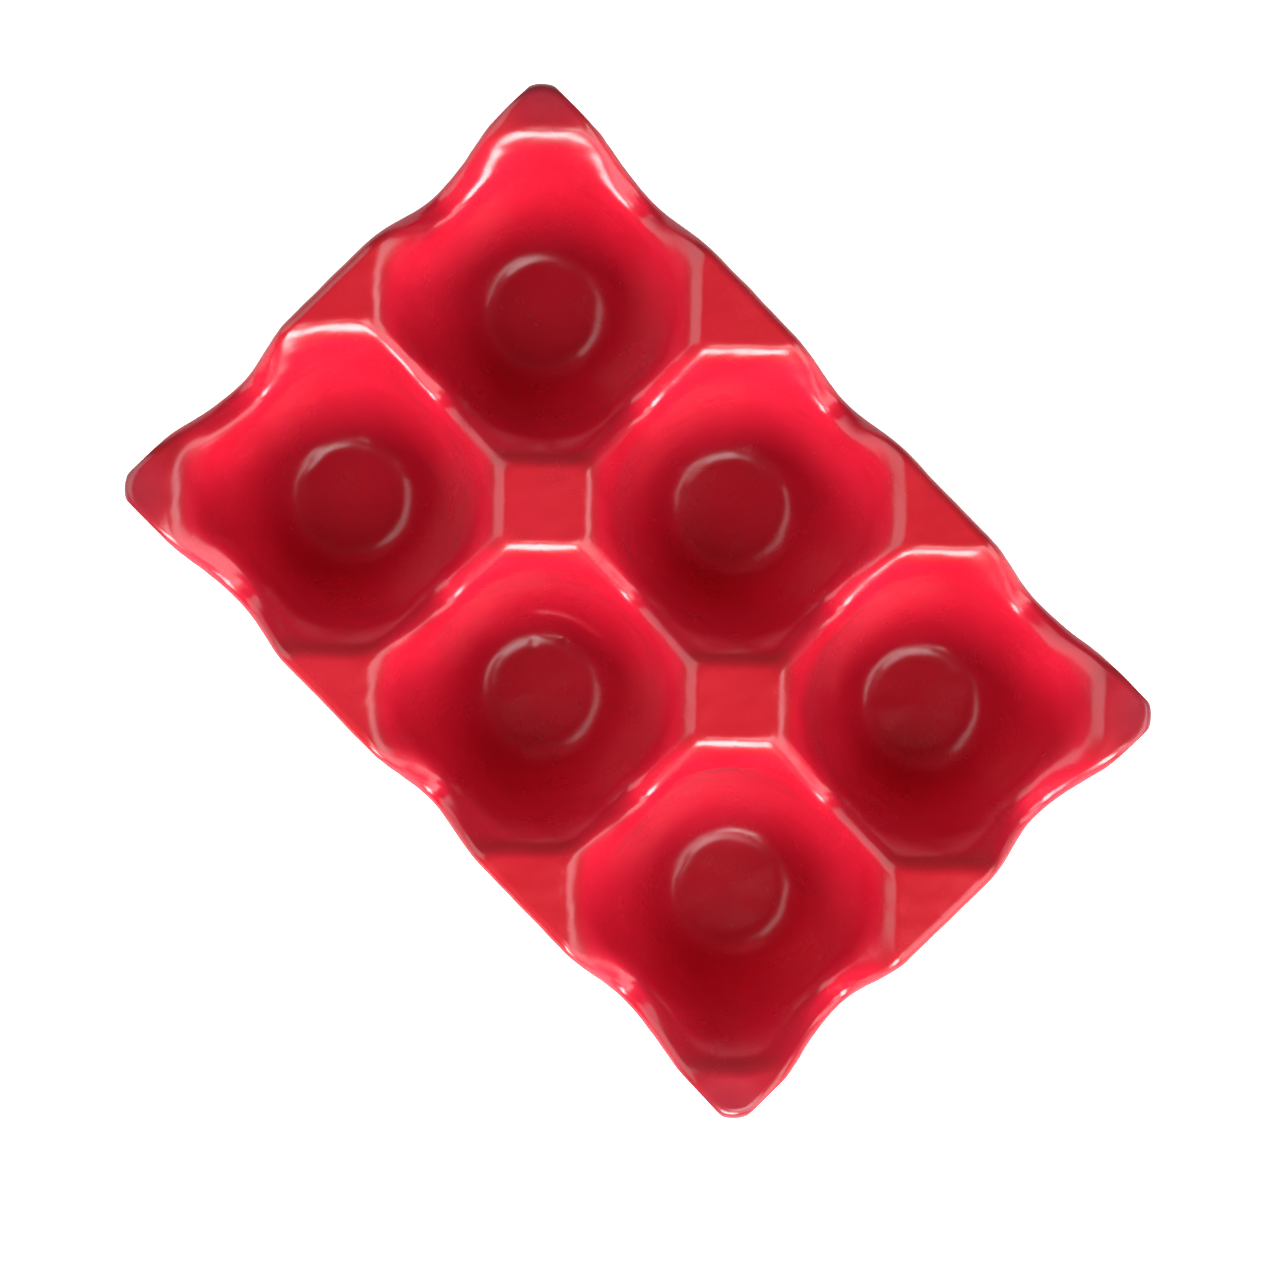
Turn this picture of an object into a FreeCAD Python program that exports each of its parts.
import FreeCAD, Part
import Sketcher
import math
import os

# Six-cup egg tray, one ceramic casting with a glaze coat.
#
# Frame: origin on the table plane under the middle of the tray, +X along the
# three-cup side, +Y along the two-cup side, +Z up out of the cups.
#
# Pieces
#   stoneware_body   the fired clay casting: six cups joined by a wavy web, with
#                    six dry feet that stand on the table
#   glaze_coat       the glass coat fused over the clay, open at the six feet
#
# Both come from the same list of features. The clay is the same tray drawn one
# glaze thickness smaller, and the coat is the outer tray with the clay taken out.

os.makedirs("parts", exist_ok=True)
doc = FreeCAD.newDocument("egg_tray")

# ---------------------------------------------------------------- dimensions
SHEET = [
    ("pitch_long", 48.6, "cup to cup along X"),
    ("pitch_short", 47.6, "cup to cup along Y"),
    ("tray_height", 38.0, "table to the flat tops of the posts"),
    ("margin_long", 4.7, "ridge line to the outer edge, X ends, at the top"),
    ("margin_short", 4.2, "ridge line to the outer edge, Y sides, at the top"),
    ("plan_corner", 5.0, "corner radius seen from above"),
    ("side_draft", 10.0, "degrees the outer edge leans in going down"),
    ("trim_reach", 1.0, "how far the trimming block goes below the table"),
    ("plate_thick", 4.6, "thickness of the posts' flat tops"),
    ("glaze_thick", 0.4, "glaze coat"),
    ("glaze_line", 1.0, "height of the glaze's lower edge round each foot"),
    ("foot_flare", 0.8, "half side the glazed cup gains per mm up to the glaze line"),
    ("foot_recess_radius", 8.0, "shallow hollow in each foot"),
    ("foot_recess_depth", 0.6, "shallow hollow in each foot"),
    ("foot_round", 0.6, "turned edge of each foot"),
    ("edge_round", 1.6, "rounding of ridges, post edges and the lip's inner edge"),
    ("lip_round", 0.6, "rounding of the lip's outer edge, in the glaze only"),
    ("floor_round", 1.5, "hollow rounding between cup floor and wall"),
    ("well_widening", 1.1, "glaze thicknesses the clay's wells are wider by"),
    ("dip_drop", 9.6, "how far ridges and lip dip beside each cup"),
    ("dip_half", 14.0, "half width of a dip where it leaves the top"),
    ("dip_base", 4.4, "half width of a dip at its bottom"),
    ("dip_round", 10.0, "hollow rounding at a dip's bottom"),
    ("dip_crown", 8.0, "rounding where a dip leaves the top"),
    ("dip_above", 2.0, "how far a dip's profile rises above the top"),
    ("dip_widening", 0.67, "glaze thicknesses the clay's dips are wider by, each side"),
]
# Cup sections are rounded squares turned 45 degrees: height, half side, corner radius.
WELL = [  # cup inside
    (5.0, 10.2, 10.0),
    (10.0, 13.8, 13.4),
    (16.0, 17.1, 16.6),
    (22.0, 19.7, 19.2),
    (28.4, 22.1, 21.6),
    (33.0, 23.9, 22.6),
    (38.0, 25.7, 20.0),
    (42.0, 27.0, 18.6),
]
CUP = [  # cup outside
    (0.0, 12.2, 12.0),
    (7.5, 17.7, 17.0),
    (15.0, 21.7, 20.4),
    (22.5, 24.8, 23.0),
    (29.5, 27.3, 24.4),
    (36.0, 29.9, 24.2),
]
LETTERS = "abcdefgh"
for prefix, place, sections in (("well", "cup inside", WELL), ("cup", "cup outside", CUP)):
    for letter, (z, half, corner) in zip(LETTERS, sections):
        SHEET.append((prefix + "_z_" + letter, z, place + ", section height"))
        SHEET.append((prefix + "_half_" + letter, half, place + ", half side"))
        SHEET.append((prefix + "_corner_" + letter, corner, place + ", corner radius"))

# cup centres, in pitches from the middle of the tray
COLUMNS = (-1, 0, 1)
ROWS = (-0.5, 0.5)

# what the edge selectors go by
NEAR = 1e-3  # points this close count as being in place
CREASE = math.radians(20)  # least angle between the faces at an edge to round
FACING_DOWN = -0.3  # normals with z below this look down
LIP_BAND = 3.0  # the lip's outer edges lie this close to the outline
FACING_OUT = 0.6  # least outward part of a side face's normal
CORNER_OUT = 0.2  # the same along X at the plan corners
CORNER_STEEP = 0.4  # greatest z of a plan corner's normal
SAME_EDGE = 0.6  # how far rounding the ridges may shift a lip edge's middle

dims = doc.addObject("Spreadsheet::Sheet", "dims")
for row, (alias, number, note) in enumerate(SHEET, start=1):
    dims.set("A%d" % row, alias)
    dims.set("B%d" % row, str(number))
    dims.set("C%d" % row, note)
    dims.setAlias("B%d" % row, alias)
doc.recompute()


def value(alias):
    return float(getattr(dims, alias))


def inset(clay):
    """How far the drawn surface lies inside the glaze's outer surface."""
    return value("glaze_thick") if clay else 0.0


def less_glaze(clay):
    """The same inset as the tail of an expression."""
    return " - dims.glaze_thick" if clay else ""


# ------------------------------------------------------------ feature helpers
def check(obj):
    bad = [s for s in obj.State if s in ("Invalid", "Error")]
    if bad or obj.Shape.isNull() or not obj.Shape.isValid():
        raise RuntimeError("%s failed: %s %s" % (obj.Name, obj.State, obj.getStatusString()))
    return obj


def finish(body, feature):
    """Makes a feature the body's tip and computes it."""
    body.Tip = feature
    doc.recompute()
    return check(feature)


def check_cut(feature, before):
    if not feature.Shape.Volume < before.Shape.Volume:
        raise RuntimeError("%s removed nothing" % feature.Name)


def origin_feature(body, role):
    return [f for f in body.Origin.OriginFeatures if f.Role == role][0]


def fillet(body, base, names, radius_text, name):
    feature = body.newObject("PartDesign::Fillet", name)
    feature.Base = (base, names)
    feature.setExpression("Radius", radius_text)
    return finish(body, feature)


def linear_pattern(body, name, axis, length_text, count):
    pattern = body.newObject("PartDesign::LinearPattern", name)
    pattern.Direction = (origin_feature(body, axis), [""])
    pattern.setExpression("Length", length_text)
    pattern.Occurrences = count
    return pattern


def grid(body, feature, name):
    """Repeats a feature over the three by two cup places."""
    multi = body.newObject("PartDesign::MultiTransform", name)
    multi.Originals = [feature]
    multi.Transformations = [
        linear_pattern(body, name + "_long", "X_Axis", "2 * dims.pitch_long", len(COLUMNS)),
        linear_pattern(body, name + "_short", "Y_Axis", "dims.pitch_short", len(ROWS)),
    ]
    return finish(body, multi)


def edges_where(feature, test):
    return ["Edge%d" % (i + 1) for i, e in enumerate(feature.Shape.Edges) if test(e)]


def level_edge(edge, height, steps):
    """Whether an edge lies at one height, looked at in steps + 1 places."""
    a, b = edge.ParameterRange
    return all(
        abs(edge.valueAt(a + (b - a) * k / steps).z - height) < NEAR
        for k in range(int(steps) + 1)
    )


def creases(shape):
    """Edges where two faces meet at an angle: name, middle, both normals, lowest z."""
    for i, edge in enumerate(shape.Edges):
        a, b = edge.ParameterRange
        points = [edge.valueAt(a + (b - a) * k / 8.0) for k in range(9)]
        middle = points[4]
        normals = []
        for face in shape.ancestorsOfType(edge, Part.Face):
            u, v = face.Surface.parameter(middle)
            normals.append(face.normalAt(u, v))
        if len(normals) != 2 or normals[0].getAngle(normals[1]) < CREASE:
            continue
        yield "Edge%d" % (i + 1), middle, normals, min(p.z for p in points)


# ------------------------------------------------------------------- sketches
def add_sketch(body, name, role, offset):
    """A sketch on one of the body's own origin planes; offset holds the
    expressions for the attachment offset, one per axis of the sketch."""
    sketch = body.newObject("Sketcher::SketchObject", name)
    sketch.AttachmentSupport = [(origin_feature(body, role), "")]
    sketch.MapMode = "FlatFace"
    for axis, text in zip("xyz", offset):
        if text:
            sketch.setExpression("AttachmentOffset.Base." + axis, text)
    return sketch


def constrain(sketch, *parts):
    return sketch.addConstraint(Sketcher.Constraint(*parts))


def drive(sketch, name, text, *parts):
    """Adds a named constraint bound to an expression."""
    index = constrain(sketch, *parts)
    sketch.renameConstraint(index, name)
    sketch.setExpression("Constraints." + name, text)


def join(sketch, kind, first, second):
    """Ties the end of one curve to the start of the next."""
    constrain(sketch, kind, first, 2, second, 1)


def add_line(sketch, start, end):
    return sketch.addGeometry(Part.LineSegment(start, end), False)


def add_arc(sketch, centre, radius, start, end):
    circle = Part.Circle(centre, FreeCAD.Vector(0, 0, 1), radius)
    arc = Part.ArcOfCircle(circle, circle.parameter(start), circle.parameter(end))
    return sketch.addGeometry(arc, False)


def rounded_loop(sketch, runs, corner):
    """Four sides and four equal corner arcs, counterclockwise. A run is a side's
    start and end and the centre of the arc after it."""
    lines, arcs = [], []
    for i, (start, end, centre) in enumerate(runs):
        lines.append(add_line(sketch, start, end))
        arcs.append(add_arc(sketch, centre, corner, end, runs[(i + 1) % 4][0]))
    for i in range(4):
        join(sketch, "Tangent", lines[i], arcs[i])
        join(sketch, "Tangent", arcs[i], lines[(i + 1) % 4])
    for i in range(1, 4):
        constrain(sketch, "Equal", arcs[0], arcs[i])
    return lines, arcs


def size_loop(sketch, lines, arc, halves, half_texts, corner, corner_text):
    """Sets each side's distance from the sketch origin, and the corner radius."""
    for i, line in enumerate(lines):
        name = "half_side_%d" % (i + 1)
        drive(sketch, name, half_texts[i % 2], "Distance", -1, 1, line, halves[i % 2])
    drive(sketch, "corner_radius", corner_text, "Radius", arc, corner)


def rounded_square(sketch, half, corner, half_text, corner_text):
    """A square turned 45 degrees with rounded corners, centred on the sketch."""
    diagonal = math.sqrt(0.5)
    straight = half - corner
    runs = []
    for x, y in ((1, 0), (0, 1), (-1, 0), (0, -1)):
        out = FreeCAD.Vector((x - y) * diagonal, (x + y) * diagonal, 0)
        side = FreeCAD.Vector(-out.y, out.x, 0)
        runs.append(
            (
                out * half - side * straight,
                out * half + side * straight,
                out * straight + side * straight,
            )
        )
    lines, arcs = rounded_loop(sketch, runs, corner)
    constrain(sketch, "Perpendicular", lines[0], lines[1])
    constrain(sketch, "Parallel", lines[0], lines[2])
    constrain(sketch, "Parallel", lines[1], lines[3])
    constrain(sketch, "Angle", lines[0], math.radians(135.0))
    size_loop(sketch, lines, arcs[0], (half, half), (half_text, half_text), corner, corner_text)


def outline_size(clay):
    """Half length, half width and corner radius of the tray seen from above."""
    thick = inset(clay)
    return (
        1.5 * value("pitch_long") + value("margin_long") - thick,
        value("pitch_short") + value("margin_short") - thick,
        value("plan_corner") - thick,
    )


def tray_outline(sketch, clay):
    """The tray's rounded rectangle at the top, centred on the sketch."""
    a, b, corner = outline_size(clay)
    V = FreeCAD.Vector
    runs = [
        (V(a, -b + corner, 0), V(a, b - corner, 0), V(a - corner, b - corner, 0)),
        (V(a - corner, b, 0), V(-a + corner, b, 0), V(-a + corner, b - corner, 0)),
        (V(-a, b - corner, 0), V(-a, -b + corner, 0), V(-a + corner, -b + corner, 0)),
        (V(-a + corner, -b, 0), V(a - corner, -b, 0), V(a - corner, -b + corner, 0)),
    ]
    lines, arcs = rounded_loop(sketch, runs, corner)
    for i in (0, 2):
        constrain(sketch, "Vertical", lines[i])
    for i in (1, 3):
        constrain(sketch, "Horizontal", lines[i])
    less = less_glaze(clay)
    half_texts = (
        "1.5 * dims.pitch_long + dims.margin_long" + less,
        "dims.pitch_short + dims.margin_short" + less,
    )
    corner_text = "dims.plan_corner" + less
    size_loop(sketch, lines, arcs[0], (a, b), half_texts, corner, corner_text)


def dip_half_width(clay):
    return value("dip_half") + value("dip_widening") * inset(clay)


def dip_profile(sketch, clay):
    """The side view of one dip: a trapezium, wide end up and above the top, with
    the corners at its bottom rounded."""
    V = FreeCAD.Vector
    drop, corner, high = value("dip_drop"), value("dip_round"), value("dip_above")
    half = dip_half_width(clay)
    base = value("dip_base") + value("dip_widening") * inset(clay)
    lean = math.atan2(drop, half - base)
    tangent = corner * math.tan(lean / 2.0)
    wide = half + high * ((half - base) / drop)
    foot = V(base - tangent, -drop, 0)
    heel = V(base + tangent * math.cos(lean), -drop + tangent * math.sin(lean), 0)
    centre = V(foot.x, -drop + corner, 0)
    rim = V(wide, high, 0)
    left_foot, left_heel, left_centre, left_rim = [
        V(-p.x, p.y, 0) for p in (foot, heel, centre, rim)
    ]

    bottom = add_line(sketch, left_foot, foot)
    right_arc = add_arc(sketch, centre, corner, foot, heel)
    right = add_line(sketch, heel, rim)
    over = add_line(sketch, rim, left_rim)
    left = add_line(sketch, left_rim, left_heel)
    left_arc = add_arc(sketch, left_centre, corner, left_heel, left_foot)

    join(sketch, "Coincident", right, over)
    join(sketch, "Coincident", over, left)
    join(sketch, "Tangent", bottom, right_arc)
    join(sketch, "Tangent", right_arc, right)
    join(sketch, "Tangent", left, left_arc)
    join(sketch, "Tangent", left_arc, bottom)
    constrain(sketch, "Symmetric", over, 1, over, 2, -2)
    constrain(sketch, "Horizontal", bottom)
    constrain(sketch, "Equal", right_arc, left_arc)
    more = " + dims.glaze_thick * dims.dip_widening" if clay else ""
    width_text = (
        "2 * (dims.dip_half%s"
        " + dims.dip_above * (dims.dip_half - dims.dip_base) / dims.dip_drop)" % more
    )
    drive(sketch, "top_width", width_text, "DistanceX", over, 2, over, 1, 2 * wide)
    drive(sketch, "above", "dims.dip_above", "DistanceY", -1, 1, over, 1, high)
    drive(sketch, "drop", "dims.dip_drop", "DistanceY", bottom, 1, -1, 1, drop)
    drive(sketch, "corner_radius", "dims.dip_round", "Radius", right_arc, corner)
    lean_text = "atan(dims.dip_drop / (dims.dip_half - dims.dip_base))"
    drive(sketch, "right_lean", lean_text, "Angle", right, lean)
    drive(sketch, "left_lean", "-" + lean_text, "Angle", left, -lean)


# ------------------------------------------------------ the tray, step by step
def top_plate(body, clay):
    """The flat plate that becomes the posts' tops."""
    base_text = "dims.tray_height - dims.plate_thick" + (" + dims.glaze_thick" if clay else "")
    plan = add_sketch(body, body.Name + "_plan", "XY_Plane", (None, None, base_text))
    tray_outline(plan, clay)
    plate = body.newObject("PartDesign::Pad", body.Name + "_plate")
    plate.Profile = plan
    plate.setExpression("Length", "dims.plate_thick" + (" - 2 * dims.glaze_thick" if clay else ""))
    return finish(body, plate)


def loft(body, kind, name, sections, prefix, extras, lowest_z):
    """A loft through rounded squares stacked over the first cup's place. extras holds
    the expression tails added to each section's half side and corner radius;
    lowest_z is the expression for the lowest section's height."""
    sketches = []
    for k, (z, half, corner) in enumerate(sections):
        letter = LETTERS[k]
        z_text = "dims.%s_z_%s" % (prefix, letter) if k else lowest_z
        offset = ("-dims.pitch_long", "-dims.pitch_short / 2", z_text)
        sketch = add_sketch(body, "%s_section_%s" % (name, letter), "XY_Plane", offset)
        rounded_square(
            sketch,
            half,
            corner,
            "dims.%s_half_%s%s" % (prefix, letter, extras[k]),
            "dims.%s_corner_%s%s" % (prefix, letter, extras[k]),
        )
        sketches.append(sketch)
    feature = body.newObject(kind, name)
    feature.Profile = sketches[0]
    feature.Sections = sketches[1:]
    feature.Ruled = False
    feature.Closed = False
    return finish(body, feature)


def cup_outsides(body, clay):
    """The outsides of the six cups; the glaze stops above the table, the clay on it."""
    extras = [less_glaze(clay)] * len(CUP)
    lowest_z = "dims.cup_z_a"
    if not clay:
        extras[0] = " + dims.glaze_line * dims.foot_flare"
        lowest_z = "dims.glaze_line"
    name = body.Name + "_cup"
    cup = loft(body, "PartDesign::AdditiveLoft", name, CUP, "cup", extras, lowest_z)
    return grid(body, cup, body.Name + "_cups")


def trim_sides(body, clay):
    """Removes what lies outside a block with leaning sides."""
    block_body = doc.addObject("PartDesign::Body", body.Name + "_block")
    top_text = "dims.tray_height" + less_glaze(clay)
    plan = add_sketch(block_body, body.Name + "_block_plan", "XY_Plane", (None, None, top_text))
    tray_outline(plan, clay)
    block = block_body.newObject("PartDesign::Pad", body.Name + "_block_pad")
    block.Profile = plan
    block.Reversed = True
    block.setExpression("Length", "dims.tray_height + dims.trim_reach")
    block.setExpression("TaperAngle", "-dims.side_draft")
    finish(block_body, block)
    trim = body.newObject("PartDesign::Boolean", body.Name + "_trim")
    trim.Type = "Common"
    trim.setObjects([block_body])
    return finish(body, trim)


def cup_insides(body, clay):
    """The insides of the six cups."""
    extra = " + dims.glaze_thick * dims.well_widening" if clay else ""
    extras = [extra] * len(WELL)
    lowest_z = "dims.well_z_a" + less_glaze(clay)
    name = body.Name + "_well"
    well = loft(body, "PartDesign::SubtractiveLoft", name, WELL, "well", extras, lowest_z)
    return grid(body, well, body.Name + "_wells")


def cut_dips(body, last, clay):
    """Dips in the ridges and the lip: three troughs across the tray and two along
    it, through the rows of cups. Inside the cups they meet nothing."""
    top_text = "dims.tray_height" + less_glaze(clay)
    for run, role, offset, step, count, axis in (
        ("across", "XZ_Plane", "-dims.pitch_long", "2 * dims.pitch_long", len(COLUMNS), "X_Axis"),
        ("along", "YZ_Plane", "-dims.pitch_short / 2", "dims.pitch_short", len(ROWS), "Y_Axis"),
    ):
        tag = "%s_dips_%s" % (body.Name, run)
        sketch = add_sketch(body, tag + "_side", role, (offset, top_text, None))
        dip_profile(sketch, clay)
        cut = body.newObject("PartDesign::Pocket", tag)
        cut.Profile = sketch
        cut.Midplane = True
        cut.setExpression("Length", "4 * dims.pitch_long")
        finish(body, cut)
        check_cut(cut, last)
        troughs = linear_pattern(body, tag + "_row", axis, step, count)
        troughs.Originals = [cut]
        finish(body, troughs)
        check_cut(troughs, cut)
        last = troughs
    return last


def round_dip_corners(body, last, clay):
    """Rounds the dips' upper corners, so ridges and lip run as a wave."""
    top = value("tray_height") - inset(clay)
    half = dip_half_width(clay)
    centres_x = [k * value("pitch_long") for k in COLUMNS]
    centres_y = [k * value("pitch_short") for k in ROWS]

    def dip_corner(edge):
        ends = [v.Point for v in edge.Vertexes]
        if len(ends) != 2 or any(abs(p.z - top) > NEAR for p in ends):
            return False
        return any(
            all(abs(abs(p.x - centre) - half) < NEAR for p in ends) for centre in centres_x
        ) or any(
            all(abs(abs(p.y - centre) - half) < NEAR for p in ends) for centre in centres_y
        )

    names = edges_where(last, dip_corner)
    # each trough dips the two lips it meets and every ridge between them
    dips = len(COLUMNS) * (len(ROWS) + 1) + len(ROWS) * (len(COLUMNS) + 1)
    if len(names) != 2 * dips:
        raise RuntimeError("expected %d dip corners, found %d" % (2 * dips, len(names)))
    return fillet(body, last, names, "dims.dip_crown", body.Name + "_dip_rounds")


def faces_out(middle, normals, half_x, half_y):
    """Whether an edge borders one of the tray's outer sides."""
    sign_x, sign_y = math.copysign(1, middle.x), math.copysign(1, middle.y)
    at_end = abs(middle.x) > half_x - LIP_BAND
    at_side = abs(middle.y) > half_y - LIP_BAND
    return any(
        (at_end and n.x * sign_x > FACING_OUT)
        or (at_side and n.y * sign_y > FACING_OUT)
        or (at_end and at_side and abs(n.z) < CORNER_STEEP and n.x * sign_x > CORNER_OUT)
        for n in normals
    )


def round_crests(body, waves, clay):
    """Rounds ridges, post edges and the lip's inner edge, and in the glaze the lip's
    outer edge too; the clay under it is left as it was trimmed."""
    half_x, half_y, _ = outline_size(clay)
    low = value("tray_height") - inset(clay) - value("dip_drop")
    inner, outer_middles = [], []
    for name, middle, normals, lowest in creases(waves.Shape):
        if lowest < low - 0.01 or min(n.z for n in normals) < FACING_DOWN:
            continue
        if faces_out(middle, normals, half_x, half_y):
            outer_middles.append(middle)
        else:
            inner.append(name)
    radius_text = "dims.edge_round" + less_glaze(clay)
    crests = fillet(body, waves, inner, radius_text, body.Name + "_crest_rounds")
    if clay:
        return crests

    # the first fillet renumbers the edges, so the lip is found again by place
    names = [
        name
        for name, middle, _, _ in creases(crests.Shape)
        if any((middle - other).Length < SAME_EDGE for other in outer_middles)
    ]
    if len(names) != len(outer_middles):
        raise RuntimeError("lip edges: %d of %d" % (len(names), len(outer_middles)))
    return fillet(body, crests, names, "dims.lip_round", body.Name + "_lip_rounds")


def round_floors(body, last, clay):
    """The hollow rounding round each cup floor."""
    floor = value("well_z_a") - inset(clay)
    names = edges_where(last, lambda edge: level_edge(edge, floor, 4.0))
    return fillet(body, last, names, "dims.floor_round", body.Name + "_floor_rounds")


def tray(name, clay):
    """The tray as one body. clay True draws it one glaze thickness smaller, with
    its feet on the table; False draws the outer surface of the glaze."""
    body = doc.addObject("PartDesign::Body", name)
    top_plate(body, clay)
    cup_outsides(body, clay)
    trim_sides(body, clay)
    last = cup_insides(body, clay)
    last = cut_dips(body, last, clay)
    last = round_dip_corners(body, last, clay)
    last = round_crests(body, last, clay)
    return body, round_floors(body, last, clay)


# --------------------------------------------------------------------- pieces
def add_feet(body, last):
    """Six dry feet: the turned edge and the shallow hollow that leaves a ring."""
    names = edges_where(last, lambda edge: level_edge(edge, 0.0, 2.0))
    turned = fillet(body, last, names, "dims.foot_round", body.Name + "_foot_rounds")

    offset = ("-dims.pitch_long", "-dims.pitch_short / 2", None)
    plan = add_sketch(body, body.Name + "_foot_hollow_plan", "XY_Plane", offset)
    radius = value("foot_recess_radius")
    circle = Part.Circle(FreeCAD.Vector(0, 0, 0), FreeCAD.Vector(0, 0, 1), radius)
    ring = plan.addGeometry(circle, False)
    constrain(plan, "Coincident", ring, 3, -1, 1)
    drive(plan, "radius", "dims.foot_recess_radius", "Radius", ring, radius)

    hollow = body.newObject("PartDesign::Pocket", body.Name + "_foot_hollow")
    hollow.Profile = plan
    hollow.Reversed = True
    hollow.setExpression("Length", "dims.foot_recess_depth")
    finish(body, hollow)
    check_cut(hollow, turned)
    grid(body, hollow, body.Name + "_feet")


def make_stoneware_body():
    body, last = tray("stoneware_body", clay=True)
    add_feet(body, last)
    return body


def make_glaze_coat(envelope, stoneware):
    coat = doc.addObject("Part::Cut", "glaze_coat")
    coat.Base = envelope
    coat.Tool = stoneware
    doc.recompute()
    return check(coat)


glaze_envelope, _ = tray("glaze_envelope", clay=False)
stoneware_body = make_stoneware_body()
glaze_coat = make_glaze_coat(glaze_envelope, stoneware_body)

for obj in doc.Objects:
    if any(state in ("Invalid", "Error") for state in obj.State):
        raise RuntimeError("%s is in error" % obj.Name)
for obj in (stoneware_body, glaze_coat):
    if len(obj.Shape.Solids) != 1 or not obj.Shape.isValid():
        raise RuntimeError("%s is not one sound solid" % obj.Label)
    obj.Shape.exportStep("parts/%s.step" % obj.Label)
